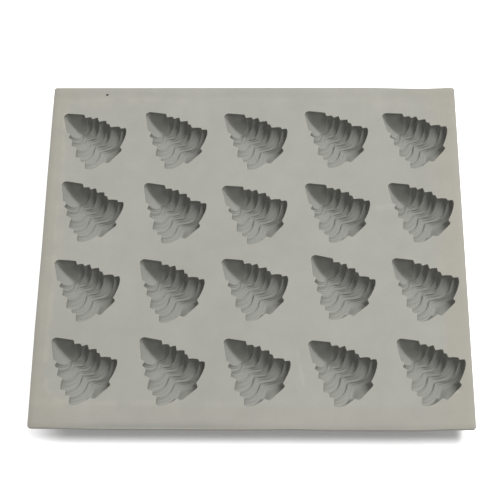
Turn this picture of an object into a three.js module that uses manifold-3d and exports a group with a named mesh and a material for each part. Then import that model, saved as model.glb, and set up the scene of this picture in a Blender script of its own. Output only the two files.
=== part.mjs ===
// A rubber candy mould: one thin sheet that carries a grid of fir-tree cups.
// Millimetres. +X runs along the front edge, +Y away from it and +Z up.
// The cups stand on z = 0, and the sheet's middle lies over the origin.

import * as THREE from 'three';
import { mergeVertices } from 'three/addons/utils/BufferGeometryUtils.js';
import Module from 'manifold-3d';

// The sheet
const sheetLength = 304.8;
const sheetWidth = 266.7;
const sheetThickness = 3.25;

// The grid of cups: the least pitch that clears them, the borders, and how far the grid lies off the middle
const leastPitch = 60;
const sideBorder = 1.775;
const frontBorder = 12.85;
const gridOffsetX = -1.7;
const gridOffsetY = 2.7;
const gridTurnDegrees = 0.35;
const treeLeanDegrees = 45;

// One tree, pressed into the sheet from above
const treeLength = 53;
const treeHalfWidth = 22.5;
const treeDepth = 13;
const tipRadius = 2.6;
const trunkHalfWidth = 8.1;
const trunkDepth = 9;
const boughStep = 1.7;
const rimBelowSheet = 0.5;

// The rubber round a tree
const cupWall = 3;
const cupFloor = 2.5;

// How far a cut runs past the rubber
const overrun = 2;

// Heights and depths that follow from the sizes above
const sheetTop = treeDepth + cupFloor;
const sheetUnderside = sheetTop - sheetThickness;
const mouthDepth = sheetThickness + rimBelowSheet;

// As many cups as fit between the borders, spread evenly
const gridLength = sheetLength - 2 * sideBorder;
const gridWidth = sheetWidth - 2 * frontBorder;
const columnCount = Math.floor(gridLength / leastPitch);
const rowCount = Math.floor(gridWidth / leastPitch);
const columnPitch = gridLength / columnCount;
const rowPitch = gridWidth / rowCount;

// The rounded tip
const tipArcSteps = 3;
const tipArcDegrees = 52;

// The mouth's edge down from the tip, as shares of the tree's length and of its half-width.
const rightEdgeShares = [
  [0.206, 0.431], [0.249, 0.373],
  [0.300, 0.515], [0.341, 0.505],
  [0.375, 0.660], [0.437, 0.582],
  [0.502, 0.765], [0.541, 0.702],
  [0.575, 0.748], [0.623, 0.693],
  [0.715, 0.912], [0.748, 0.893],
  [0.790, 1.000], [0.842, 0.925], [0.898, 0.702], [0.943, 0.382],
];
const leftEdgeShares = [
  [0.228, 0.410], [0.283, 0.369],
  [0.300, 0.515], [0.366, 0.493],
  [0.423, 0.655], [0.504, 0.593],
  [0.595, 0.865], [0.657, 0.785],
  [0.700, 0.862], [0.751, 0.785],
  [0.820, 0.960], [0.885, 0.880], [0.928, 0.650], [0.944, 0.400],
];

// The tree's body without the steps between its boughs. It is a little wider than the mouth all the way down.
const bodyShares = [
  { along: 0.00, across: 0.18, depth: 0.28 },
  { along: 0.11, across: 0.31, depth: 0.55 },
  { along: 0.21, across: 0.46, depth: 0.75 },
  { along: 0.38, across: 0.69, depth: 1.00 },
  { along: 0.60, across: 0.90, depth: 1.00 },
  { along: 0.79, across: 1.07, depth: 0.97 },
  { along: 1.10, across: 1.35, depth: 0.80 },
];

// The lower edges of the crown and of the boughs below it, as shares of the tree's length at the middle line,
// halfway out and at the rim. Each bough starts at the edge of the one above it on its side.
const crownEdgeShares = { middle: 0.325, sag: 0.290, rim: 0.250 };
const rightBoughShares = [
  { middle: 0.335, sag: 0.375, rim: 0.345 },
  { middle: 0.385, sag: 0.470, rim: 0.440 },
  { middle: 0.450, sag: 0.565, rim: 0.545 },
  { middle: 0.550, sag: 0.680, rim: 0.625 },
  { middle: 0.650, sag: 0.790, rim: 0.750 },
  { middle: 0.800, sag: 1.060, rim: 0.900 },
];
const leftBoughShares = [
  { middle: 0.335, sag: 0.375, rim: 0.370 },
  { middle: 0.450, sag: 0.510, rim: 0.510 },
  { middle: 0.550, sag: 0.655, rim: 0.665 },
  { middle: 0.650, sag: 0.785, rim: 0.755 },
  { middle: 0.800, sag: 1.060, rim: 0.900 },
];
const trunkStartShare = 0.76;

// Where points lie between the middle line and the rim, and between the tip and the crown's edge
const boughColumnShares = [0, 0.36, 0.70, 1];
const crownRowShares = [0, 0.5, 1];

// The cup's back down its length, before the wall is added. Across it, the middle is flat.
const backShares = [
  { along: 0.00, across: 0.17, depth: 0.22 },
  { along: 0.08, across: 0.27, depth: 0.52 },
  { along: 0.24, across: 0.44, depth: 0.80 },
  { along: 0.42, across: 0.65, depth: 1.00 },
  { along: 0.72, across: 0.95, depth: 1.00 },
  { along: 0.83, across: 0.99, depth: 0.94 },
  { along: 0.93, across: 0.68, depth: 0.86 },
  { along: 1.00, across: 0.40, depth: 0.72 },
];
const flatShare = 0.15;
const backColumnShares = [-1, -0.72, -0.42, -flatShare, flatShare, 0.42, 0.72, 1];

// How each cup is turned, and its shift right and back as shares of the pitch. The back row is first.
const cupTurnDegrees = [
  [3, -0.5, 2, 0.5, 4.5],
  [-3, -2.5, 3.5, 1, 1],
  [2.5, -1, 2, -5.5, 0],
  [-1.5, -4, -2, 1.5, -0.5],
];
const cupShiftShares = [
  [[-0.01, 0], [0, 0], [0, -0.015], [0, 0.005], [-0.015, -0.01]],
  [[-0.005, 0.025], [0.005, 0], [-0.01, -0.015], [-0.01, 0], [0, 0]],
  [[0, 0.01], [0, -0.005], [-0.01, 0.01], [0.015, 0.02], [0, 0]],
  [[0.01, 0.01], [0.02, 0], [0.005, -0.01], [0, -0.02], [0.01, -0.01]],
];

const rubber = new THREE.MeshStandardMaterial({ color: 0xaeaea6, roughness: 0.82, metalness: 0 });

const wasm = await Module();
wasm.setup();

/** A closed geometry as a solid that can be joined and cut. */
function solidFrom(geometry) {
  const bare = geometry.index ? geometry.toNonIndexed() : geometry.clone();
  bare.deleteAttribute('normal');
  bare.deleteAttribute('uv');
  const merged = mergeVertices(bare);
  const vertProperties = new Float32Array(merged.attributes.position.array);
  const triVerts = new Uint32Array(merged.index.array);
  return new wasm.Manifold(new wasm.Mesh({ numProp: 3, vertProperties, triVerts }));
}

/** A solid back as a geometry with flat faces. */
function geometryFrom(solid) {
  const mesh = solid.getMesh();
  const geometry = new THREE.BufferGeometry();
  geometry.setAttribute('position', new THREE.BufferAttribute(new Float32Array(mesh.vertProperties), 3));
  geometry.setIndex(new THREE.BufferAttribute(new Uint32Array(mesh.triVerts), 1));
  const faceted = geometry.toNonIndexed();
  faceted.computeVertexNormals();
  return faceted;
}

/** A smooth curve through three values, at the start, the middle and the end. */
function throughThree(first, middle, last, position) {
  const rest = 1 - position;
  const ends = first * rest * (rest - position) + last * position * (position - rest);
  return ends + 4 * middle * position * rest;
}

/** A point of the tree's plan in its own frame, where the tip points to +Y. */
function planPoint(along, across) {
  return [across, treeLength / 2 - along];
}

/** The mouth's outline, round the tip, down the right side, across the trunk and up the left side. */
function mouthOutline() {
  const outline = [];
  for (let i = 0; i <= tipArcSteps; i += 1) {
    const angle = THREE.MathUtils.degToRad(tipArcDegrees) * (2 * i / tipArcSteps - 1);
    outline.push(planPoint(tipRadius * (1 - Math.cos(angle)), tipRadius * Math.sin(angle)));
  }
  for (const [along, across] of rightEdgeShares) {
    outline.push(planPoint(along * treeLength, across * treeHalfWidth));
  }
  outline.push(planPoint(treeLength, trunkHalfWidth));
  outline.push(planPoint(treeLength, -trunkHalfWidth));
  for (const [along, across] of [...leftEdgeShares].reverse()) {
    outline.push(planPoint(along * treeLength, -across * treeHalfWidth));
  }
  return outline;
}

/** The mouth as an upright prism that reaches past the tree above and below. */
function mouthPrism() {
  const shape = new THREE.Shape(mouthOutline().map(([x, y]) => new THREE.Vector2(x, y)));
  const prism = new THREE.ExtrudeGeometry(shape, { depth: treeDepth + 2 * overrun, bevelEnabled: false });
  prism.translate(0, 0, sheetTop - treeDepth - overrun);
  return prism;
}

/** A closed column over a grid of points, in rows from the tip down and left to right, with a flat lid. */
function columnOver(grid, lidHeight) {
  const rows = grid.length;
  const columns = grid[0].length;
  const positions = [];
  for (const row of grid) for (const point of row) positions.push(...point);
  for (const row of grid) for (const [x, y] of row) positions.push(x, y, lidHeight);
  const below = (i, j) => i * columns + j;
  const above = (i, j) => rows * columns + below(i, j);
  const index = [];
  const quad = (a, b, c, d) => index.push(a, b, c, a, c, d);
  for (let i = 0; i < rows - 1; i += 1) {
    for (let j = 0; j < columns - 1; j += 1) {
      quad(below(i, j), below(i, j + 1), below(i + 1, j + 1), below(i + 1, j));
      quad(above(i, j), above(i + 1, j), above(i + 1, j + 1), above(i, j + 1));
    }
    quad(below(i, 0), below(i + 1, 0), above(i + 1, 0), above(i, 0));
    quad(below(i + 1, columns - 1), below(i, columns - 1), above(i, columns - 1), above(i + 1, columns - 1));
  }
  for (let j = 0; j < columns - 1; j += 1) {
    quad(below(0, j + 1), below(0, j), above(0, j), above(0, j + 1));
    quad(below(rows - 1, j), below(rows - 1, j + 1), above(rows - 1, j + 1), above(rows - 1, j));
  }
  const geometry = new THREE.BufferGeometry();
  geometry.setAttribute('position', new THREE.BufferAttribute(new Float32Array(positions), 3));
  geometry.setIndex(index);
  return geometry;
}

/** A point of the tree's body, at a place along it and an angle round it, raised by a step. */
function bodyPoint(alongShare, angle, raise) {
  const next = Math.max(1, bodyShares.findIndex(({ along }) => along >= alongShare));
  const [low, high] = [bodyShares[next - 1], bodyShares[next]];
  const part = (alongShare - low.along) / (high.along - low.along);
  const halfWidth = THREE.MathUtils.lerp(low.across, high.across, part) * treeHalfWidth;
  const depth = THREE.MathUtils.lerp(low.depth, high.depth, part) * treeDepth;
  const [x, y] = planPoint(alongShare * treeLength, halfWidth * Math.sin(angle));
  return [x, y, sheetTop - Math.max(depth * Math.cos(angle) - raise, mouthDepth)];
}

/** Where an edge lies along the tree, at a share of the way from the middle line to the rim. */
function edgeAt({ middle, sag, rim }, column) {
  return throughThree(middle, sag, rim, column);
}

/** One bough: from a raised upper edge below the bough above it down to its own edge on the tree's body. */
function boughSolid(side, edgeAbove, edge) {
  const upper = [];
  const lower = [];
  for (const column of boughColumnShares) {
    const angle = side * column * Math.PI / 2;
    upper.push(bodyPoint(edgeAt(edgeAbove, column), angle, boughStep));
    lower.push(bodyPoint(edgeAt(edge, column), angle, 0));
  }
  const rows = side > 0 ? [upper, lower] : [upper.reverse(), lower.reverse()];
  return solidFrom(columnOver(rows, sheetTop + overrun));
}

/** The tree's crown: a plain cone from the tip to its own edge. */
function crownSolid() {
  const leftColumns = boughColumnShares.slice(1).map((column) => -column).reverse();
  const columns = [...leftColumns, ...boughColumnShares];
  const rows = crownRowShares.map((share) => columns.map((column) => (
    bodyPoint(share * edgeAt(crownEdgeShares, Math.abs(column)), column * Math.PI / 2, 0)
  )));
  return solidFrom(columnOver(rows, sheetTop + overrun));
}

/** The short trunk below the lowest boughs. */
function trunkSolid() {
  const rows = [];
  for (const along of [trunkStartShare * treeLength, treeLength + overrun]) {
    rows.push(backColumnShares.map((column) => {
      const angle = column * Math.PI / 2;
      const [x, y] = planPoint(along, (trunkHalfWidth + overrun) * Math.sin(angle));
      return [x, y, sheetTop - Math.max(trunkDepth * Math.cos(angle), mouthDepth)];
    }));
  }
  return solidFrom(columnOver(rows, sheetTop + overrun));
}

/** The whole tree that is pressed out of the rubber. */
function treeSolid() {
  let body = crownSolid().add(trunkSolid());
  for (const [side, edges] of [[1, rightBoughShares], [-1, leftBoughShares]]) {
    edges.forEach((edge, i) => {
      body = body.add(boughSolid(side, i > 0 ? edges[i - 1] : crownEdgeShares, edge));
    });
  }
  return body.intersect(solidFrom(mouthPrism()));
}

/** Rings of points round one cup's rubber before the tree is pressed out, flat on top and where it stands. */
function cupBlankRings() {
  return backShares.map(({ along, across, depth }) => {
    const start = along * (treeLength + 2 * cupWall) - cupWall;
    const halfWidth = across * treeHalfWidth + cupWall;
    return backColumnShares.map((column) => {
      const angle = column * Math.PI / 2;
      const [x, y] = planPoint(start, halfWidth * Math.sin(angle));
      const fall = Math.cos(angle) / Math.cos(flatShare * Math.PI / 2);
      return [x, y, sheetUnderside * (1 - depth * fall)];
    });
  });
}

/** A closed shell over rings of points whose ends lie on one flat top. */
function loftUnder(rings) {
  const columns = rings[0].length;
  const positions = rings.flat(2);
  const at = (i, j) => i * columns + j;
  const index = [];
  for (let i = 0; i < rings.length - 1; i += 1) {
    for (let j = 0; j < columns; j += 1) {
      const next = (j + 1) % columns;
      index.push(at(i, j), at(i, next), at(i + 1, next), at(i, j), at(i + 1, next), at(i + 1, j));
    }
  }
  for (let j = 1; j < columns - 1; j += 1) {
    index.push(at(0, 0), at(0, j + 1), at(0, j));
    index.push(at(rings.length - 1, 0), at(rings.length - 1, j), at(rings.length - 1, j + 1));
  }
  const geometry = new THREE.BufferGeometry();
  geometry.setAttribute('position', new THREE.BufferAttribute(new Float32Array(positions), 3));
  geometry.setIndex(index);
  return geometry;
}

const cupGeometry = geometryFrom(solidFrom(loftUnder(cupBlankRings())).subtract(treeSolid()));

/** A table's entry for a cup. A larger grid starts the table again. */
function entryAt(table, row, column) {
  const line = table[row % table.length];
  return line[column % line.length];
}

/** Where a cup stands on the sheet and how it is turned. */
function cupPlace(row, column) {
  const turnDegrees = entryAt(cupTurnDegrees, row, column);
  const [shiftRight, shiftBack] = entryAt(cupShiftShares, row, column);
  const place = new THREE.Vector2(
    (column - (columnCount - 1) / 2 + shiftRight) * columnPitch,
    ((rowCount - 1) / 2 - row + shiftBack) * rowPitch,
  );
  place.rotateAround(new THREE.Vector2(0, 0), THREE.MathUtils.degToRad(gridTurnDegrees));
  const angle = THREE.MathUtils.degToRad(treeLeanDegrees + turnDegrees);
  return { x: place.x + gridOffsetX, y: place.y + gridOffsetY, angle };
}

/** The sheet with a mouth cut through it over each cup. */
function sheetGeometry(places) {
  const [halfLength, halfWidth] = [sheetLength / 2, sheetWidth / 2];
  const sheet = new THREE.Shape([
    new THREE.Vector2(-halfLength, -halfWidth),
    new THREE.Vector2(halfLength, -halfWidth),
    new THREE.Vector2(halfLength, halfWidth),
    new THREE.Vector2(-halfLength, halfWidth),
  ]);
  const origin = new THREE.Vector2(0, 0);
  for (const { x, y, angle } of places) {
    const points = mouthOutline().map(([px, py]) => {
      const point = new THREE.Vector2(px, py).rotateAround(origin, angle);
      return point.add(new THREE.Vector2(x, y));
    });
    sheet.holes.push(new THREE.Path(points));
  }
  const geometry = new THREE.ExtrudeGeometry(sheet, { depth: sheetThickness, bevelEnabled: false });
  geometry.translate(0, 0, sheetUnderside);
  return geometry;
}

const group = new THREE.Group();
const places = [];
for (let row = 0; row < rowCount; row += 1) {
  for (let column = 0; column < columnCount; column += 1) {
    const place = cupPlace(row, column);
    places.push(place);
    const cup = new THREE.Mesh(cupGeometry, rubber);
    cup.name = `tree_cup_${row + 1}_${column + 1}`;
    cup.position.set(place.x, place.y, 0);
    cup.rotation.z = place.angle;
    group.add(cup);
  }
}
const sheet = new THREE.Mesh(sheetGeometry(places), rubber);
sheet.name = 'face_sheet';
group.add(sheet);

export default group;
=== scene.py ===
"""A grey rubber candy mould: a thin sheet over rows of fir-tree cups, on a pale table in soft light."""
import math

import bmesh
import bpy
from mathutils import Matrix, Quaternion, Vector
from mathutils.kdtree import KDTree


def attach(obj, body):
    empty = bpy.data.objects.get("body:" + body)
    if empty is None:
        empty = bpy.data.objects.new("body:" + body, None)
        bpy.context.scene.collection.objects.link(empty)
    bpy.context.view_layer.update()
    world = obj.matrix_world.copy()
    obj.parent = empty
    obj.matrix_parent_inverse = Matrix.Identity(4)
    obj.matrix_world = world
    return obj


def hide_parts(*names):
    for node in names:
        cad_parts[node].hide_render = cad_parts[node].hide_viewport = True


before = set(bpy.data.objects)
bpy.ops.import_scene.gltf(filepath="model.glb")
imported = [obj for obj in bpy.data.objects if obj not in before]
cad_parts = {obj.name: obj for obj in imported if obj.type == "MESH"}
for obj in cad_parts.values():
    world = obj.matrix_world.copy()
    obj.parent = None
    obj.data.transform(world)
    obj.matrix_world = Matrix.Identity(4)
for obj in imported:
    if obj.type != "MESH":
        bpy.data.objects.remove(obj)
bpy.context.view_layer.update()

MM = 0.001

# ---------------------------------------------------------------- sizes, in millimetres

SHEET_TOP, SHEET_UNDERSIDE = 15.5, 12.25
SHEET_LENGTH, SHEET_WIDTH = 304.8, 266.7
SHEET_SQUARES = (30, 26)  # that its face is divided into, across and deep

# The cups stand in a square grid, shifted right and back and turned. Every tree's tip points TREE_LEAN left of straight
# back. Both are in degrees.
ROWS, COLUMNS, PITCH = 4, 5, 60.25
GRID_OFFSET = Vector((-1.25, 1.95))
GRID_TURN = 0.35
TREE_LEAN = 45

# Each cup's own turn in degrees and its shift right and back as shares of the pitch, back row first
CUP_SETTINGS = [
    [(3, -0.01, 0), (-0.5, 0, 0), (2, 0, -0.015), (0.5, 0, 0.005), (4.5, -0.015, -0.01)],
    [(-3, -0.005, 0.025), (-2.5, 0.005, 0), (3.5, -0.01, -0.015), (1, -0.01, 0), (1, 0, 0)],
    [(2.5, 0, 0.01), (-1, 0, -0.005), (2, -0.01, 0.01), (-5.5, 0.015, 0.02), (0, 0, 0)],
    [(-1.5, 0.01, 0.01), (-4, 0.02, 0), (-2, 0.005, -0.01), (1.5, 0, -0.02), (-0.5, 0.01, -0.01)],
]

# The carved tree. Places are (distance from the tip, distance from the middle line), and depths are below the sheet's
# top. The middle line's depth goes by the distance from the tip.
TREE_LENGTH = 53
MIDDLE_DEPTHS = [(0, 1.6), (1.5, 4.4), (4, 7.8), (8, 11.0), (12, 12.5), (17, 13.0),
                 (24, 13.0), (34, 13.0), (42, 12.4), (53, 10)]
RIM_DEPTH = 1.6
TIP_HALF_TURN = math.radians(55)

# A bough's rim runs from its notch to its tip on each side, 1 right and -1 left. "low" is where its edge hangs
# lowest: (share of the way out to the rim, distance from the tip). "step" is how far the next bough starts above it,
# at the middle and on each side.
CROWN = {"middle": 16.2, "step": 0.8,
         1: {"notch": (1.4, 2.9), "tip": (10.5, 10.0), "low": (0.25, 16.5), "step": 1.0},
         -1: {"notch": (1.1, 2.2), "tip": (11.8, 9.4), "low": (0.3, 16.3), "step": 1.4}}
BOUGHS = [
    {"middle": 17.4, "step": 0.8,
     1: {"notch": (13.2, 8.4), "tip": (15.9, 11.8), "low": (0.4, 19.1), "step": 1.9},
     -1: {"notch": (15.0, 8.3), "tip": (15.9, 11.7), "low": (0.35, 19.6), "step": 1.6}},
    {"middle": 20.5, "step": 1.2,
     1: {"notch": (18.1, 11.3), "tip": (19.9, 15.0), "low": (0.36, 25.0), "step": 2.0},
     -1: {"notch": (19.4, 11.0), "tip": (20.8, 12.8), "low": (0.35, 22.4), "step": 0.4}},
    {"middle": 26.0, "step": 1.2,
     1: {"notch": (23.2, 13.0), "tip": (26.6, 17.4), "low": (0.45, 30.7), "step": 1.5},
     -1: {"notch": (20.8, 12.8), "tip": (22.4, 14.8), "low": (0.38, 27.4), "step": 1.6}},
    {"middle": 29.7, "step": 2.2,
     1: {"notch": (28.7, 15.7), "tip": (30.5, 16.9), "low": (0.42, 35.1), "step": 2.2},
     -1: {"notch": (26.7, 13.2), "tip": (31.5, 19.6), "low": (0.5, 34.5), "step": 1.6}},
    {"middle": 36.0, "step": 1.8,
     1: {"notch": (33.0, 15.5), "tip": (37.9, 20.6), "low": (0.5, 42.8), "step": 2.0},
     -1: {"notch": (34.8, 17.5), "tip": (37.1, 19.5), "low": (0.5, 40.4), "step": 1.6}},
    {"middle": 41.4, "step": 0,
     1: {"notch": (39.6, 19.9), "tip": (41.9, 22.7), "low": (0.62, 47.4), "step": 0},
     -1: {"notch": (39.8, 17.5), "tip": (43.5, 21.7), "low": (0.62, 46.8), "step": 0}},
]
# Where the lowest boughs' edge has its points round the tree, and the mouth below them out to the tips
BASE_ANGLES = [0, 9, 17, 22, 25, 37, 50, 63, 77, 90]
BASE_MOUTH = {1: [(50.0, 8.3), (49.0, 12.2), (47.2, 16.4), (45.3, 19.9), (43.4, 22.0)],
              -1: [(50.0, 8.3), (49.5, 12.2), (48.8, 15.8), (47.2, 19.0), (45.4, 21.2)]}
END_WALL_SINK = 0.6  # how far the wall below those boughs sinks halfway up
TRUNK_DEPTH, TRUNK_HALF_WIDTH, TRUNK_FOOT = 7.8, 8.1, {1: 7.8, -1: 7.2}
TRUNK_START, TRUNK_CORNER = 1.8, 0.7  # where it starts past the boughs' hem, and how far its corners are rounded in
TRUNK_RISE = 0.7  # the share of its length over which it rises from the boughs' hem

# The rows and columns of the carved surface. Rows are shares of the way down, and columns run from middle to rim.
SIDE_COLUMNS, TRUNK_COLUMNS, WALL_ROWS = 9, 4, 2
CROWN_ROWS = [0, 0.06, 0.16, 0.3, 0.45, 0.6, 0.75, 0.88, 0.96, 1]
BOUGH_ROWS = [0, 0.13, 0.27, 0.41, 0.55, 0.69, 0.83, 0.95, 1]
TRUNK_ROWS = [(0, 1.1), (0.2, 1.1), (0.45, 1.05), (0.7, 1.0), (0.9, 1), (0.97, 0.75), (1, 0)]  # each with its depth
TRUNK_SECTION = [(0, 1), (0.37, 0.93), (0.7, 0.72), (0.92, 0.42), (1, 0)]  # (way out, depth), both as shares

FOLD_DEPTH, FOLD_WAVES = 0.34, 2.5
STEP_WIDTH, STEP_SPREAD, STEP_FADE = 0.8, 3, 1.5
RIM_BULGE, RELIEF_FADE = 0.2, 2.2  # how far a bough's rim bows out, and how near it the folds and steps fade
CROWN_SHARPNESS = (1.75, 1.4)  # at its tip and its edge

# The rounded lip of a mouth: (step outward, height below the sheet's top)
LIP_RINGS = [(0.03, 0.8), (0.05, 0.25), (0.13, 0.05), (0.3, 0), (0.55, 0)]

# The rounded back of a cup, from beyond the tip to beyond the trunk: (along, half-width, depth as a share)
BACK_RINGS = [(-2.2, 4.5, 0.0), (-1.9, 6.0, 0.25), (2.0, 8.6, 0.66), (11.0, 12.6, 0.93), (21.5, 17.2, 1.0),
              (31.0, 21.2, 1.0), (39.0, 24.0, 1.0), (46.0, 24.2, 0.93), (52.0, 18.5, 0.86), (55.0, 12.2, 0.66),
              (55.3, 10.0, 0.0)]
BACK_COLUMNS = [-1, -0.86, -0.7, -0.52, -0.34, -0.18, -0.06, 0.06, 0.18, 0.34, 0.52, 0.7, 0.86, 1]
BACK_FLAT = 0.18  # the foot is flat between the columns at this share
# The back's upper edge below the sheet's underside, and the flare from it: (step outward, height below the underside)
BACK_RIM = 1.7
FLARE_RINGS = [(0.12, 0.8), (0.45, 0.16), (0.95, 0.0), (1.2, 0.0)]

LIP_PASSES, FLARE_PASSES = 3, 4  # how often the directions in which a rim grows are evened out
MERGE_DISTANCE = 0.02
CUTTER_EXCESS = 1  # how far the cutter of a mouth reaches past the sheet, above and below
CUP_CREASE, SHEET_CREASE = math.radians(40), math.radians(30)

# The strip along the sheet's edge that is trimmed, and (size, segments) of the cuts at its corners and long edges
BORDER = 5.0
CORNER_CUT, EDGE_CUT = (2.0, 3), (0.25, 2)

# How far each edge of the sheet is trimmed in, by the place along it
LEFT_TRIM = [(-133.35, 0.4), (-60, 0), (0, 0.3), (60, 0.1), (133.35, 0.2)]
FRONT_TRIM = [(-152.4, 0.7), (-125, 0.6), (-105, 0), (5, 0), (27, 0.4), (48, 0), (115, 0), (135, 0.8), (152.4, 0.9)]
BACK_TRIM = [(-152.4, 0.1), (85, 0), (100, 0.3), (117, 0.8), (138, 0.8), (146, 0.2), (152.4, 0.2)]
# How far the front strip hangs down at its edge, and the depth of the strip that hangs
FRONT_DROOP = [(-152.4, 0.1), (-105, 0.45), (-30, 0.45), (25, 0.1), (60, 0.2), (105, 0.3), (135, 0.05), (152.4, 0)]
DROOP_STRIP = 16.0

# ---------------------------------------------------------------- colours, marks and light

FACE_GREY, BROWNED = (0.422, 0.42, 0.378, 1), (0.428, 0.406, 0.352, 1)
# The last of these is painted shade: the near-black of a small pit's hollow, which is not modelled
RESIDUE, SCUFF, PIT_PAINTED_SHADE = (0.48, 0.455, 0.39, 1), (0.52, 0.52, 0.48, 1), (0.06, 0.06, 0.055, 1)
# Painted shade: the darker grey that everything below the flat face takes, in the cups and under the sheet
CUP_PAINTED_SHADE = (0.31, 0.31, 0.285, 1)
CLOUD_SIZE, BLOTCH_SIZE, GRAIN_SIZE = 45, 14, 1.1
CLOUD_CONTRAST, BLOTCH_CONTRAST, GRAIN_CONTRAST = 0.16, 0.14, 0.1
ROUGHNESS, ROUGHNESS_CONTRAST, SPECULAR_LEVEL = 0.7, 0.25, 0.12
BUMP_STRENGTH, BUMP_DISTANCE = 0.35, 0.05
# From here on a pair of numbers is a soft slope, from where it starts to where it ends.
# Where the face's own colour takes over from the painted shade below it, by the height and by the distance from the
# sheet's edge
UNSHADED_RISE, UNSHADED_INSET = (14.8, 15.4), (1.6, 1.1)
# The line of dried residue, as a rounded rectangle, with its wobble, its sides, its gaps and how it fades to the right
RESIDUE_MIDDLE, RESIDUE_HALF, RESIDUE_CORNER, LINE_WOBBLE = (-3.5, 4), (138.5, 119), 16, 6
LINE_SIDES, LINE_GAPS, LINE_FADE, LINE_STRENGTH = (0.4, 3.2), (0.35, 0.6), (-140, 20), 0.6
# The browner band outside it, stronger at both ends, and a browner stretch along the right edge
BAND_RISE, BAND_ENDS = (-2, 4), (110, 140)
RIGHT_BAND_X, RIGHT_BAND_Y = (124, 138), (-70, -20)
BROWN_STRENGTH = 0.8
# The slightly darker strips in front and at the back
FRONT_STRIP, BACK_STRIP = (-119.5, -116.5), (123, 126)
FRONT_SHADE, BACK_SHADE = 0.01, 0.02
PATCH_GAPS, SCUFF_GAPS = (0.2, 0.7), (0.3, 0.65)
# White scuffs: middle, length, width, turn in degrees and strength
SCUFFS = [
    ((34, -90), 34, 4, 100, 0.35), ((95.5, 32.5), 22, 8, 8, 0.35), ((83, -47), 4, 2.4, 90, 0.7),
    ((140.5, -106.5), 6, 3.4, 0, 0.75), ((26, 70.5), 22, 1.6, -22, 0.3), ((-80, 70), 30, 10, 20, 0.12),
    ((118, -10), 18, 5, -30, 0.2), ((8, -12), 14, 3, 60, 0.18), ((60, 12), 16, 3, -50, 0.15),
]
# Wider patches of the same dried residue, with the same five values
RESIDUE_PATCHES = [
    ((-112, 121), 70, 18, 4, 0.8), ((-140, 20), 90, 12, 92, 0.5), ((100, 119), 60, 16, -4, 0.5),
    ((-128, -116), 50, 12, -6, 0.3),
]
# A small pit, whose hollow is painted dark as shade: its middle and width
PIT, PIT_WIDTH = (-111.5, 127), 2.4

# Angles in degrees, and lengths in metres but for the lens and its sensor
KEY_AZIMUTH, KEY_ELEVATION, KEY_DISTANCE = 40, 54, 4.5
KEY_LENGTH, KEY_HEIGHT, KEY_POWER = 3.6, 1.65, 198.0
AMBIENT = 0.25  # the room's light, as a share of how bright the room is seen
CAMERA_PLACE, CAMERA_LENS, CAMERA_SENSOR = (0.0151, -0.3455, 0.823), 87.89, 36
CAMERA_AZIMUTH, CAMERA_ELEVATION, CAMERA_ROLL = 2.78, 66.89, -2.464

TABLE_SIZE, TABLE_WHITE, TABLE_ROUGHNESS = 6, (0.9, 0.9, 0.9, 1), 0.9
# How much painted light the camera sees added to the table: everywhere, and outside the strip of shadow, where it hides
# the shadows that fall there
TABLE_LIFT, SHADOW_HIDING_LIFT = 0.15, 0.8
# The strip of table where the shadow shows, by its four sides in millimetres; across their soft slopes the painted
# light fades in and so shapes the shadow's fading edge
SHADOW_LEFT, SHADOW_RIGHT, SHADOW_FRONT, SHADOW_BACK = (-166, -125), (140, 152), (-147, -132), (-126, -118)


# ---------------------------------------------------------------- modelling helpers

def mix(a, b, share):
    return a + (b - a) * share


def along_line(points, place):
    """The height at a place of a line through points, each a place and a height."""
    for (a, height_a), (b, height_b) in zip(points, points[1:]):
        if place <= b:
            return mix(height_a, height_b, (place - a) / (b - a))
    return points[-1][1]


def swag(middle, low, rim, out):
    """How far down a bough's edge hangs at a share of the way out, from the middle line through its low point."""
    low_out, low_along = low
    if out < low_out:
        return mix(middle, low_along, math.sin(out / low_out * math.pi / 2))
    return mix(rim, low_along, math.cos((out - low_out) / (1 - low_out) * math.pi / 2))


def select_only(*pieces):
    bpy.ops.object.select_all(action='DESELECT')
    for piece in pieces:
        piece.select_set(True)
    bpy.context.view_layer.objects.active = pieces[-1]


def shaped_grid(name, rows, columns, place):
    """A grid of faces, each of whose points goes where place(row, column) says."""
    bpy.ops.object.select_all(action='DESELECT')
    bpy.ops.mesh.primitive_grid_add(x_subdivisions=columns, y_subdivisions=rows, size=1)
    piece = bpy.context.object
    piece.name = name
    for vertex in piece.data.vertices:
        row, column = round((vertex.co.y + 0.5) * rows), round((vertex.co.x + 0.5) * columns)
        vertex.co = place(row, column)
    return piece


def joined(pieces, name):
    """Pieces made one mesh, with the points that they share merged."""
    select_only(*pieces)
    bpy.ops.object.join()
    piece = bpy.context.object
    piece.name = name
    bpy.ops.object.mode_set(mode='EDIT')
    bpy.ops.mesh.select_all(action='SELECT')
    bpy.ops.mesh.remove_doubles(threshold=MERGE_DISTANCE * MM)
    bpy.ops.object.mode_set(mode='OBJECT')
    return piece


def face_outward(piece):
    select_only(piece)
    bpy.ops.object.mode_set(mode='EDIT')
    bpy.ops.mesh.select_all(action='SELECT')
    bpy.ops.mesh.normals_make_consistent(inside=False)
    bpy.ops.object.mode_set(mode='OBJECT')


def subdivided(piece, levels):
    select_only(piece)
    modifier = piece.modifiers.new("smooth", 'SUBSURF')
    modifier.levels = modifier.render_levels = levels
    bpy.ops.object.modifier_apply(modifier=modifier.name)
    return piece


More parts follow.
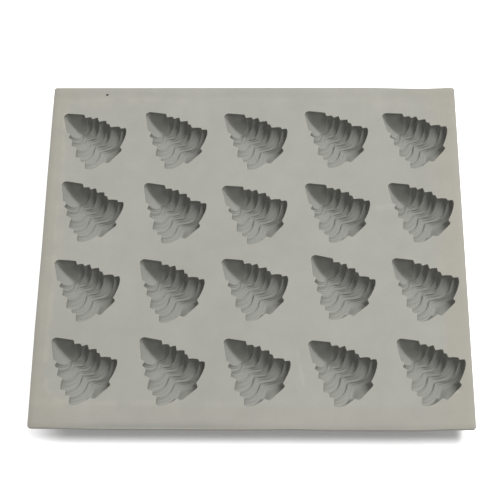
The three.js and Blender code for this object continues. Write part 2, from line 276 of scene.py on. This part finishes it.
def open_loop(mesh):
    """The points of a mesh's one open edge, in order, anticlockwise from above."""
    beside = {}
    for edge in mesh.edges:
        if edge.is_boundary:
            a, b = edge.verts
            beside.setdefault(a, []).append(b)
            beside.setdefault(b, []).append(a)
    start = min(beside, key=lambda vertex: vertex.index)
    loop = [start, beside[start][0]]
    while len(loop) < len(beside):
        a, b = beside[loop[-1]]
        loop.append(b if a is loop[-2] else a)
    after = loop[1:] + loop[:1]
    area = sum(a.co.x * b.co.y - b.co.x * a.co.y for a, b in zip(loop, after))
    return loop if area > 0 else loop[::-1]


def select_open_edge(piece):
    """Selects a piece's open edge and nothing else, in edit mode."""
    bpy.ops.mesh.select_all(action='DESELECT')
    for edge in bmesh.from_edit_mesh(piece.data).edges:
        if edge.is_boundary:
            edge.select_set(True)


def settle_order(piece):
    """Puts a piece's edges and faces in an order that is the same in each run, in edit mode."""
    mesh = bmesh.from_edit_mesh(piece.data)
    mesh.verts.index_update()
    count = len(mesh.verts)

    def by_points(part):
        first, second, *others = sorted(vertex.index for vertex in part.verts)
        return (first * count + second) * count + sum(others[:1])

    mesh.edges.sort(key=by_points)
    mesh.faces.sort(key=by_points)


def grow_rim(piece, rings, height, passes):
    """Extrudes a piece's open edge through rings, each a step outward and a drop below a height, in millimetres."""
    select_only(piece)
    bpy.ops.object.mode_set(mode='EDIT')
    mesh = bmesh.from_edit_mesh(piece.data)
    mesh.verts.index_update()
    start = [vertex.co.copy() for vertex in open_loop(mesh)]
    outward = []
    for before, after in zip(start[-1:] + start[:-1], start[1:] + start[:1]):
        along = after - before
        outward.append(Vector((along.y, -along.x, 0)).normalized())
    for _ in range(passes):
        outward = [(outward[i - 1] + 2 * outward[i] + outward[(i + 1) % len(outward)]).normalized()
                   for i in range(len(outward))]
    places = start
    for step, drop in rings:
        select_open_edge(piece)
        bpy.ops.mesh.extrude_edges_indiv()
        settle_order(piece)
        mesh = bmesh.from_edit_mesh(piece.data)
        nearest = KDTree(len(places))
        for i, place in enumerate(places):
            nearest.insert(place, i)
        nearest.balance()
        places = [Vector((place.x, place.y, (height - drop) * MM)) + way * step * MM
                  for place, way in zip(start, outward)]
        for vertex in mesh.verts:
            if vertex.select:
                vertex.co = places[nearest.find(vertex.co)[1]]
    bmesh.update_edit_mesh(piece.data)
    bpy.ops.object.mode_set(mode='OBJECT')
    return piece


# ---------------------------------------------------------------- one carved tree

def tree_point(along, across, depth):
    return Vector((across, TREE_LENGTH / 2 - along, SHEET_TOP - depth)) * MM


def crown_point(share, column):
    """A point of the crown, at a share of the way down it and a column round it."""
    side, out = (1 if column >= 0 else -1), abs(column) / SIDE_COLUMNS
    if share == 0:
        turn = TIP_HALF_TURN * out
        end_along, end_across = CROWN[side]["notch"]
        along = end_along * (1 - math.cos(turn)) / (1 - math.cos(TIP_HALF_TURN))
        return tree_point(along, side * end_across * math.sin(turn) / math.sin(TIP_HALF_TURN), RIM_DEPTH)
    shape = CROWN[side]
    rim_along = mix(shape["notch"][0], shape["tip"][0], share)
    rim_across = mix(shape["notch"][1], shape["tip"][1], share)
    angle = out * math.pi / 2
    low_out, low_along = shape["low"]
    sharpness = mix(*CROWN_SHARPNESS, share)
    outward = math.sin(angle) ** sharpness
    along = swag(CROWN["middle"] * share, (low_out, low_along * share), rim_along, outward)
    depth = mix(RIM_DEPTH, along_line(MIDDLE_DEPTHS, along), max(math.cos(angle), 0) ** sharpness)
    return tree_point(along, side * rim_across * outward, depth)


def bough_point(index, share, column):
    """A point of a row of boughs, at a share of the way down from the edge above."""
    side, out = (1 if column >= 0 else -1), abs(column) / SIDE_COLUMNS
    bough, above = BOUGHS[index], (BOUGHS[index - 1] if index else CROWN)
    shape = bough[side]
    (notch_along, notch_across), (tip_along, tip_across) = shape["notch"], shape["tip"]
    angle = out * math.pi / 2
    if bough is BOUGHS[-1]:
        angle = mix(angle, math.radians(BASE_ANGLES[abs(column)]), share)
    bulge = RIM_BULGE * share * (1 - share)
    rim_along = mix(notch_along, tip_along, share) - bulge * (tip_across - notch_across)
    rim_across = mix(notch_across, tip_across, share) + bulge * (tip_along - notch_along)
    outward = math.sin(angle)
    middle = mix(above["middle"] + STEP_WIDTH, bough["middle"], share)
    low_out = mix(above[side]["low"][0], shape["low"][0], share)
    low_along = mix(above[side]["low"][1] + STEP_WIDTH, shape["low"][1], share)
    along = swag(middle, (low_out, low_along), rim_along, outward)
    folds = FOLD_DEPTH * math.sin(share * 2 * math.pi * FOLD_WAVES)
    step = mix(above["step"], above[side]["step"], min(1, STEP_SPREAD * outward))
    raised = step * (1 - share) ** STEP_FADE + folds
    depth = mix(RIM_DEPTH, along_line(MIDDLE_DEPTHS, along), math.cos(angle))
    depth -= raised * min(1, RELIEF_FADE * math.cos(angle))
    if abs(column) == SIDE_COLUMNS:
        depth = RIM_DEPTH
    return tree_point(along, side * rim_across * outward, max(depth, RIM_DEPTH))


def carved_tree():
    """The inside of one cavity, open along its mouth: crown, boughs, end wall and trunk."""
    columns = range(-SIDE_COLUMNS, SIDE_COLUMNS + 1)
    rows = [[crown_point(share, column) for column in columns] for share in CROWN_ROWS]
    for index in range(len(BOUGHS)):
        rows += [[bough_point(index, share, column) for column in columns] for share in BOUGH_ROWS]
    hem = dict(zip(columns, rows[-1]))
    body = shaped_grid("tree", len(rows) - 1, len(columns) - 1, lambda row, column: rows[row][column])

    def end_wall(side):
        """The wall below the lowest bough on one side, from its edge up to the mouth."""
        def place(row, column):
            low = hem[side * (TRUNK_COLUMNS + column)]
            if TRUNK_COLUMNS + column == SIDE_COLUMNS:
                return low
            along, across = BASE_MOUTH[side][column]
            sink = END_WALL_SINK * MM if row == 1 and column else 0
            return low.lerp(tree_point(along, side * across, RIM_DEPTH), row / WALL_ROWS) - Vector((0, 0, sink))
        return shaped_grid("end_wall", WALL_ROWS, SIDE_COLUMNS - TRUNK_COLUMNS, place)

    def trunk_point(row, column):
        """A point of the trunk, which rises from the hem to its floor and ends in an upright foot."""
        offset, (share, fall) = column - TRUNK_COLUMNS, TRUNK_ROWS[row]
        side = 1 if offset >= 0 else -1
        out, level = TRUNK_SECTION[abs(offset)]
        if out == 1:
            along, across = BASE_MOUTH[side][0]
            along = mix(along, TREE_LENGTH - TRUNK_CORNER, share)
            return tree_point(along, side * mix(across, TRUNK_FOOT[side], share), RIM_DEPTH)
        start = TREE_LENGTH / 2 - hem[offset].y / MM + TRUNK_START
        hem_depth = SHEET_TOP - hem[offset].z / MM
        depth = mix(hem_depth, mix(RIM_DEPTH, TRUNK_DEPTH, level * fall), min(1, share / TRUNK_RISE))
        half_width = mix(TRUNK_HALF_WIDTH, TRUNK_FOOT[side], share)
        return tree_point(mix(start, TREE_LENGTH, share), side * half_width * out, depth)

    def riser_point(row, column):
        """A point of the short slope from the lowest boughs' hem to the trunk's start."""
        return hem[column - TRUNK_COLUMNS].lerp(trunk_point(0, column), row / WALL_ROWS)

    trunk = shaped_grid("trunk", len(TRUNK_ROWS) - 1, 2 * TRUNK_COLUMNS, trunk_point)
    riser = shaped_grid("riser", WALL_ROWS, 2 * TRUNK_COLUMNS, riser_point)
    return joined([riser, trunk, end_wall(1), end_wall(-1), body], "tree")


def cup_back():
    """The outside of one cup, open at the sheet's underside."""
    def place(row, column):
        along, half_width, share = BACK_RINGS[row]
        across = BACK_COLUMNS[column]
        angle = across * math.pi / 2
        level = 1 if abs(across) <= BACK_FLAT else math.cos(angle) / math.cos(BACK_FLAT * math.pi / 2)
        edge_z = SHEET_UNDERSIDE - BACK_RIM
        z = edge_z * (1 - share * level)
        return Vector((half_width * math.sin(angle), TREE_LENGTH / 2 - along, z)) * MM
    return shaped_grid("back", len(BACK_RINGS) - 1, len(BACK_COLUMNS) - 1, place)


def one_cup():
    """A closed cup: carved tree, rounded lip, the lip's outer wall, the flat under the sheet and the back."""
    inside = subdivided(grow_rim(carved_tree(), LIP_RINGS, SHEET_TOP, LIP_PASSES), 1)
    mesh = bmesh.new()
    mesh.from_mesh(inside.data)
    mesh.verts.index_update()
    seam = [vertex.co.copy() for vertex in open_loop(mesh)]
    mesh.free()
    inside = grow_rim(inside, [(0, 0)], SHEET_UNDERSIDE, passes=0)
    back = subdivided(grow_rim(cup_back(), FLARE_RINGS, SHEET_UNDERSIDE, FLARE_PASSES), 1)
    for vertex in back.data.vertices:
        vertex.co.z = max(vertex.co.z, 0)
    cup = joined([back, inside], "cup")
    bpy.ops.object.mode_set(mode='EDIT')
    select_open_edge(cup)
    bpy.ops.mesh.fill()
    settle_order(cup)
    bpy.ops.object.mode_set(mode='OBJECT')
    face_outward(cup)
    bpy.ops.object.shade_smooth_by_angle(angle=CUP_CREASE)
    return cup, seam


# ---------------------------------------------------------------- the mould

def cup_matrix(row, column):
    """Where one cup goes in the grid, and how it is turned."""
    turn, right, back = CUP_SETTINGS[row][column]
    place = Vector(((column - (COLUMNS - 1) / 2 + right) * PITCH, ((ROWS - 1) / 2 - row + back) * PITCH))
    place.rotate(Matrix.Rotation(math.radians(GRID_TURN), 2))
    place += GRID_OFFSET
    turned = Matrix.Rotation(math.radians(TREE_LEAN + turn), 4, 'Z')
    return Matrix.Translation(Vector((place.x, place.y, 0)) * MM) @ turned


def mouth_cutter(seam, matrix):
    """An upright prism through the sheet, round one cup's lip."""
    bpy.ops.object.select_all(action='DESELECT')
    bpy.ops.mesh.primitive_circle_add(vertices=len(seam), radius=1, fill_type='NGON')
    cutter = bpy.context.object
    corners = sorted(cutter.data.vertices, key=lambda v: math.atan2(v.co.y, v.co.x) % (2 * math.pi))
    for vertex, place in zip(corners, seam):
        vertex.co = matrix @ place
        vertex.co.z = (SHEET_TOP + CUTTER_EXCESS) * MM
    bpy.ops.object.mode_set(mode='EDIT')
    bpy.ops.mesh.select_all(action='SELECT')
    drop = (SHEET_TOP - SHEET_UNDERSIDE + 2 * CUTTER_EXCESS) * MM
    bpy.ops.mesh.extrude_region_move(TRANSFORM_OT_translate={"value": (0, 0, -drop)})
    bpy.ops.mesh.select_all(action='SELECT')
    bpy.ops.mesh.normals_make_consistent(inside=False)
    settle_order(cutter)
    bpy.ops.object.mode_set(mode='OBJECT')
    return cutter


def soften_edges(sheet):
    """Cuts the sheet's upright corners and then its long outer edges a little."""
    half = Vector((SHEET_LENGTH, SHEET_WIDTH)) / 2 * MM

    def outer(vertex):
        return [abs(abs(value) - limit) < 0.01 * MM for value, limit in zip(vertex.co, half)]

    def upright_corner(edge):
        a, b = edge.verts
        return abs(a.co.z - b.co.z) > 1 * MM and all(outer(a))

    def long_edge(edge):
        return sum(abs(face.normal.z) > 0.9 for face in edge.link_faces) == 1

    for wanted, (cut, segments) in ((upright_corner, CORNER_CUT), (long_edge, EDGE_CUT)):
        bpy.ops.mesh.select_all(action='DESELECT')
        mesh = bmesh.from_edit_mesh(sheet.data)
        for edge in mesh.edges:
            edge.select_set(wanted(edge))
        bmesh.update_edit_mesh(sheet.data)
        bpy.ops.mesh.bevel(offset=cut * MM, segments=segments, affect='EDGES')


def trimmed(place):
    """Where a point of the square sheet goes once the sheet is trimmed and its front strip hangs."""
    x, y, z = place
    left, right, ends = -SHEET_LENGTH / 2, SHEET_LENGTH / 2, SHEET_WIDTH / 2
    by_left = max(0, 1 - (x - left) / BORDER)
    by_front, by_back = max(0, 1 - (y + ends) / BORDER), max(0, 1 - (ends - y) / BORDER)
    strip = max(0, 1 - (y + ends) / DROOP_STRIP)
    return Vector((x + by_left * along_line(LEFT_TRIM, y),
                   y + by_front * along_line(FRONT_TRIM, x) - by_back * along_line(BACK_TRIM, x),
                   z - strip * strip * along_line(FRONT_DROOP, x)))


def rubber_sheet(seam, matrices):
    """The flat sheet with a mouth cut through it over each cup."""
    bpy.ops.object.select_all(action='DESELECT')
    across, deep = SHEET_SQUARES
    bpy.ops.mesh.primitive_grid_add(x_subdivisions=across, y_subdivisions=deep, size=1)
    sheet = bpy.context.object
    sheet.name = "face_sheet_rubber"
    for vertex in sheet.data.vertices:
        vertex.co = Vector((vertex.co.x * SHEET_LENGTH, vertex.co.y * SHEET_WIDTH, SHEET_TOP)) * MM
    bpy.ops.object.mode_set(mode='EDIT')
    for normal, half in (((1, 0, 0), SHEET_LENGTH / 2), ((0, 1, 0), SHEET_WIDTH / 2)):
        for way in (1, -1):
            bpy.ops.mesh.select_all(action='SELECT')
            place = Vector(normal) * way * (half - BORDER) * MM
            bpy.ops.mesh.bisect(plane_co=place, plane_no=normal)
    bpy.ops.mesh.select_all(action='SELECT')
    drop = (SHEET_TOP - SHEET_UNDERSIDE) * MM
    bpy.ops.mesh.extrude_region_move(TRANSFORM_OT_translate={"value": (0, 0, -drop)})
    bpy.ops.mesh.select_all(action='SELECT')
    bpy.ops.mesh.normals_make_consistent(inside=False)
    soften_edges(sheet)
    settle_order(sheet)
    bpy.ops.object.mode_set(mode='OBJECT')
    for vertex in sheet.data.vertices:
        vertex.co = trimmed(vertex.co / MM) * MM
    cutters = [mouth_cutter(seam, matrix) for matrix in matrices]
    select_only(*cutters)
    bpy.ops.object.join()
    cutter = bpy.context.object
    select_only(sheet)
    cut = sheet.modifiers.new("mouths", 'BOOLEAN')
    cut.object, cut.operation, cut.solver = cutter, 'DIFFERENCE', 'EXACT'
    bpy.ops.object.modifier_apply(modifier=cut.name)
    bpy.data.objects.remove(cutter)
    select_only(sheet)
    bpy.ops.object.mode_set(mode='EDIT')
    settle_order(sheet)
    bpy.ops.object.mode_set(mode='OBJECT')
    bpy.ops.object.shade_smooth_by_angle(angle=SHEET_CREASE)
    return sheet


master, seam = one_cup()
places = {(row, column): cup_matrix(row, column) for row in range(ROWS) for column in range(COLUMNS)}
sheet = rubber_sheet(seam, list(places.values()))
cups = {}
for (row, column), matrix in places.items():
    cup = bpy.data.objects.new(f"tree_cup_rubber_{row + 1}_{column + 1}", master.data.copy())
    cup.data.transform(matrix)
    bpy.context.scene.collection.objects.link(cup)
    cups[row, column] = cup
bpy.data.objects.remove(master)


# ---------------------------------------------------------------- materials

class Socket:
    """A node's output that can be reckoned with like a number."""

    def __init__(self, graph, output):
        self.graph, self.output = graph, output

    def reckon(self, operation, *values):
        return self.graph.node("ShaderNodeMath", {"operation": operation}, dict(enumerate(values)))

    def __add__(self, other):
        return self.reckon('ADD', self, other)

    def __sub__(self, other):
        return self.reckon('SUBTRACT', self, other)

    def __rsub__(self, other):
        return self.reckon('SUBTRACT', other, self)

    def __mul__(self, other):
        return self.reckon('MULTIPLY', self, other)

    def __pow__(self, other):
        return self.reckon('POWER', self, other)

    def __abs__(self):
        return self.reckon('ABSOLUTE', self)

    __radd__, __rmul__ = __add__, __mul__

    def at_least(self, other):
        return self.reckon('MAXIMUM', self, other)

    def at_most(self, other):
        return self.reckon('MINIMUM', self, other)

    def rising(self, start, end):
        """0 below start, 1 above end and a soft slope between."""
        return self.graph.node("ShaderNodeMapRange", {"interpolation_type": 'SMOOTHSTEP'},
                               {"Value": self, "From Min": start, "From Max": end})

    def falling(self, start, end):
        return 1 - self.rising(start, end)

    def scaled(self, factor):
        """A vector or colour times a number."""
        return self.graph.node("ShaderNodeVectorMath", {"operation": 'SCALE'}, {0: self, "Scale": factor})

    def parts(self):
        split = self.graph.node("ShaderNodeSeparateXYZ", values={0: self})
        return [Socket(self.graph, output) for output in split.output.node.outputs]


class Graph:
    """The nodes of a material or a world."""

    def __init__(self, owner):
        owner.use_nodes = True
        self.nodes, self.links = owner.node_tree.nodes, owner.node_tree.links

    def put(self, entry, value):
        if isinstance(value, Socket):
            self.links.new(value.output, entry)
        else:
            entry.default_value = value

    def node(self, kind, settings=None, values=None, output=0):
        """The output of a new node whose settings are set first and then its entries."""
        made = self.nodes.new(kind)
        for name, setting in (settings or {}).items():
            setattr(made, name, setting)
        for name, value in (values or {}).items():
            self.put(made.inputs[name], value)
        return Socket(self, made.outputs[output])

    def blend(self, share, first, second):
        """Two colours mixed by a share."""
        return self.node("ShaderNodeMix", {"data_type": 'RGBA'}, {0: share, 6: first, 7: second}, output=2)

    def noise(self, place, size, detail=2, roughness=0.5):
        """Noise from about 0 to 1 with forms of a size in the place's unit."""
        return self.node("ShaderNodeTexNoise", {},
                         {"Vector": place, "Scale": 1 / size, "Detail": detail, "Roughness": roughness})


def stroke(x, y, middle, length, width, turn):
    """1 in the middle of a soft stroke and 0 outside it, in millimetres."""
    cosine, sine = math.cos(math.radians(turn)), math.sin(math.radians(turn))
    right, back = x - middle[0], y - middle[1]
    along, across = right * cosine + back * sine, back * cosine - right * sine
    return abs(along).falling(0.25 * length, 0.5 * length) * abs(across).falling(0, 0.5 * width)


def rubber_material():
    """Matt grey rubber with the marks that use left on its flat face, and painted shade below it: a darker grey in the
    cups and under the sheet.
    """
    material = bpy.data.materials.new("grey_rubber")
    graph = Graph(material)
    shader = graph.nodes["Principled BSDF"]
    place = graph.node("ShaderNodeTexCoord", output="Object").scaled(1 / MM)
    x, y, z = place.parts()

    clouds = graph.noise(place, CLOUD_SIZE, detail=3)
    blotches = graph.noise(place, BLOTCH_SIZE, detail=3, roughness=0.6)
    grain = graph.noise(place, GRAIN_SIZE)
    tone = 1 + (clouds - 0.5) * CLOUD_CONTRAST + (blotches - 0.5) * BLOTCH_CONTRAST + (grain - 0.5) * GRAIN_CONTRAST

    # The dried line that a frame left round the face, and the browner band outside it
    (middle_x, middle_y), (half_x, half_y) = RESIDUE_MIDDLE, RESIDUE_HALF
    past_x = (abs(x - middle_x) - (half_x - RESIDUE_CORNER)).at_least(0)
    past_y = (abs(y - middle_y) - (half_y - RESIDUE_CORNER)).at_least(0)
    distance = (past_x * past_x + past_y * past_y) ** 0.5 - RESIDUE_CORNER + (clouds - 0.5) * LINE_WOBBLE
    line = abs(distance).falling(*LINE_SIDES) * blotches.rising(*LINE_GAPS) * (0.25 + 0.75 * x.falling(*LINE_FADE))
    band = distance.rising(*BAND_RISE) * (abs(x).rising(*BAND_ENDS) * 0.7 + 0.3)
    right_band = x.rising(*RIGHT_BAND_X) * y.rising(*RIGHT_BAND_Y) * 0.8
    front_strip, back_strip = y.falling(*FRONT_STRIP), y.rising(*BACK_STRIP)

    brown = band.at_least(right_band).at_least(front_strip * 0.5) * BROWN_STRENGTH
    face_colour = graph.blend(brown, FACE_GREY, BROWNED)
    patches = sum(stroke(x, y, *patch) * strength for *patch, strength in RESIDUE_PATCHES)
    dried = (line * LINE_STRENGTH).at_least(patches * blotches.rising(*PATCH_GAPS))
    face_colour = graph.blend(dried, face_colour, RESIDUE)
    face_colour = face_colour.scaled(tone * (1 - front_strip * FRONT_SHADE) * (1 - back_strip * BACK_SHADE))
    scuffed = sum(stroke(x, y, *mark) * strength for *mark, strength in SCUFFS) * blotches.rising(*SCUFF_GAPS)
    face_colour = graph.blend(scuffed.at_most(1), face_colour, SCUFF)
    # Painted shade: a near-black spot for the hollow of a small pit
    pit = stroke(x, y, PIT, PIT_WIDTH, PIT_WIDTH, 0)
    face_colour = graph.blend(pit.rising(0.15, 0.5), face_colour, PIT_PAINTED_SHADE)

    # Painted shade: below the flat face, in the cups and under the sheet, the rubber takes the darker grey, but not
    # near the sheet's outer edge
    carved = graph.node("ShaderNodeRGB")
    carved.output.default_value = CUP_PAINTED_SHADE
    carved = carved.scaled(tone)
    end_rim, long_rim = (abs(way).rising(*(half - inset for inset in UNSHADED_INSET))
                         for way, half in ((x, SHEET_LENGTH / 2), (y, SHEET_WIDTH / 2)))
    unshaded = z.rising(*UNSHADED_RISE).at_least(end_rim.at_least(long_rim))
    graph.put(shader.inputs["Base Color"], graph.blend(unshaded, carved, face_colour))
    graph.put(shader.inputs["Roughness"], ROUGHNESS + (blotches - 0.5) * ROUGHNESS_CONTRAST - scuffed * 0.1)
    bumpy = graph.node("ShaderNodeBump", values={"Height": grain + blotches * 2.5, "Strength": BUMP_STRENGTH,
                                                 "Distance": BUMP_DISTANCE * MM})
    graph.put(shader.inputs["Normal"], bumpy)
    shader.inputs["Specular IOR Level"].default_value = SPECULAR_LEVEL
    return material


rubber = rubber_material()
for piece in [sheet, *cups.values()]:
    piece.data.materials.clear()
    piece.data.materials.append(rubber)
    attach(piece, "root")
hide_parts("face_sheet")
for (row, column), cup in cups.items():
    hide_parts(f"tree_cup_{row + 1}_{column + 1}")


# ---------------------------------------------------------------- table, lights and camera

def table_material():
    """A white table that the camera sees brightened by painted light, which hides the shadows outside a strip in front
    of the front edge.
    """
    material = bpy.data.materials.new("table_white")
    graph = Graph(material)
    base = graph.nodes["Principled BSDF"]
    base.inputs["Base Color"].default_value = TABLE_WHITE
    base.inputs["Roughness"].default_value = TABLE_ROUGHNESS
    x, y, _ = graph.node("ShaderNodeTexCoord", output="Object").scaled(1 / MM).parts()
    in_strip = y.rising(*SHADOW_FRONT) * y.falling(*SHADOW_BACK) * x.rising(*SHADOW_LEFT) * x.falling(*SHADOW_RIGHT)
    lift = graph.node("ShaderNodeEmission", values={"Strength": TABLE_LIFT + (1 - in_strip) * SHADOW_HIDING_LIFT})
    surface = Socket(graph, base.outputs[0])
    seen = graph.node("ShaderNodeAddShader", values={0: surface, 1: lift})
    by_camera = graph.node("ShaderNodeLightPath", output="Is Camera Ray")
    chosen = graph.node("ShaderNodeMixShader", values={0: by_camera, 1: surface, 2: seen})
    graph.put(graph.nodes["Material Output"].inputs["Surface"], chosen)
    return material


bpy.ops.object.select_all(action='DESELECT')
bpy.ops.mesh.primitive_plane_add(size=TABLE_SIZE)
table = bpy.context.object
table.name = "table"
table.data.materials.append(table_material())

# The room is seen white, and lights the scene more dimly than that
world = bpy.data.worlds.new("studio")
bpy.context.scene.world = world
graph = Graph(world)
backdrop = graph.nodes["Background"]
backdrop.inputs["Color"].default_value = (1, 1, 1, 1)
seen = sum((graph.node("ShaderNodeLightPath", output=kind) for kind in ("Is Glossy Ray", "Is Transmission Ray")),
           graph.node("ShaderNodeLightPath", output="Is Camera Ray")).at_most(1)
graph.put(backdrop.inputs["Strength"], AMBIENT + seen * (1 - AMBIENT))

key_data = bpy.data.lights.new("key_softbox", 'AREA')
key_data.shape, key_data.energy = 'RECTANGLE', KEY_POWER
key_data.size, key_data.size_y = KEY_LENGTH, KEY_HEIGHT
key = bpy.data.objects.new("key_softbox", key_data)
azimuth, elevation = math.radians(KEY_AZIMUTH), math.radians(KEY_ELEVATION)
toward = (math.cos(azimuth) * math.cos(elevation), math.sin(azimuth) * math.cos(elevation), math.sin(elevation))
key.location = Vector(toward) * KEY_DISTANCE
key.rotation_euler = (-key.location).to_track_quat('-Z', 'Y').to_euler()
bpy.context.scene.collection.objects.link(key)

camera_data = bpy.data.cameras.new("camera")
camera_data.lens, camera_data.sensor_width = CAMERA_LENS, CAMERA_SENSOR
camera = bpy.data.objects.new("camera", camera_data)
azimuth, elevation = math.radians(CAMERA_AZIMUTH), math.radians(CAMERA_ELEVATION)
toward = Vector((math.sin(azimuth) * math.cos(elevation), -math.cos(azimuth) * math.cos(elevation),
                 math.sin(elevation)))
rolled = Quaternion((0, 0, 1), math.radians(CAMERA_ROLL))
camera.location = CAMERA_PLACE
camera.rotation_euler = ((-toward).to_track_quat('-Z', 'Y') @ rolled).to_euler()
bpy.context.scene.collection.objects.link(camera)
bpy.context.scene.camera = camera
bpy.context.scene.view_settings.view_transform = 'Standard'
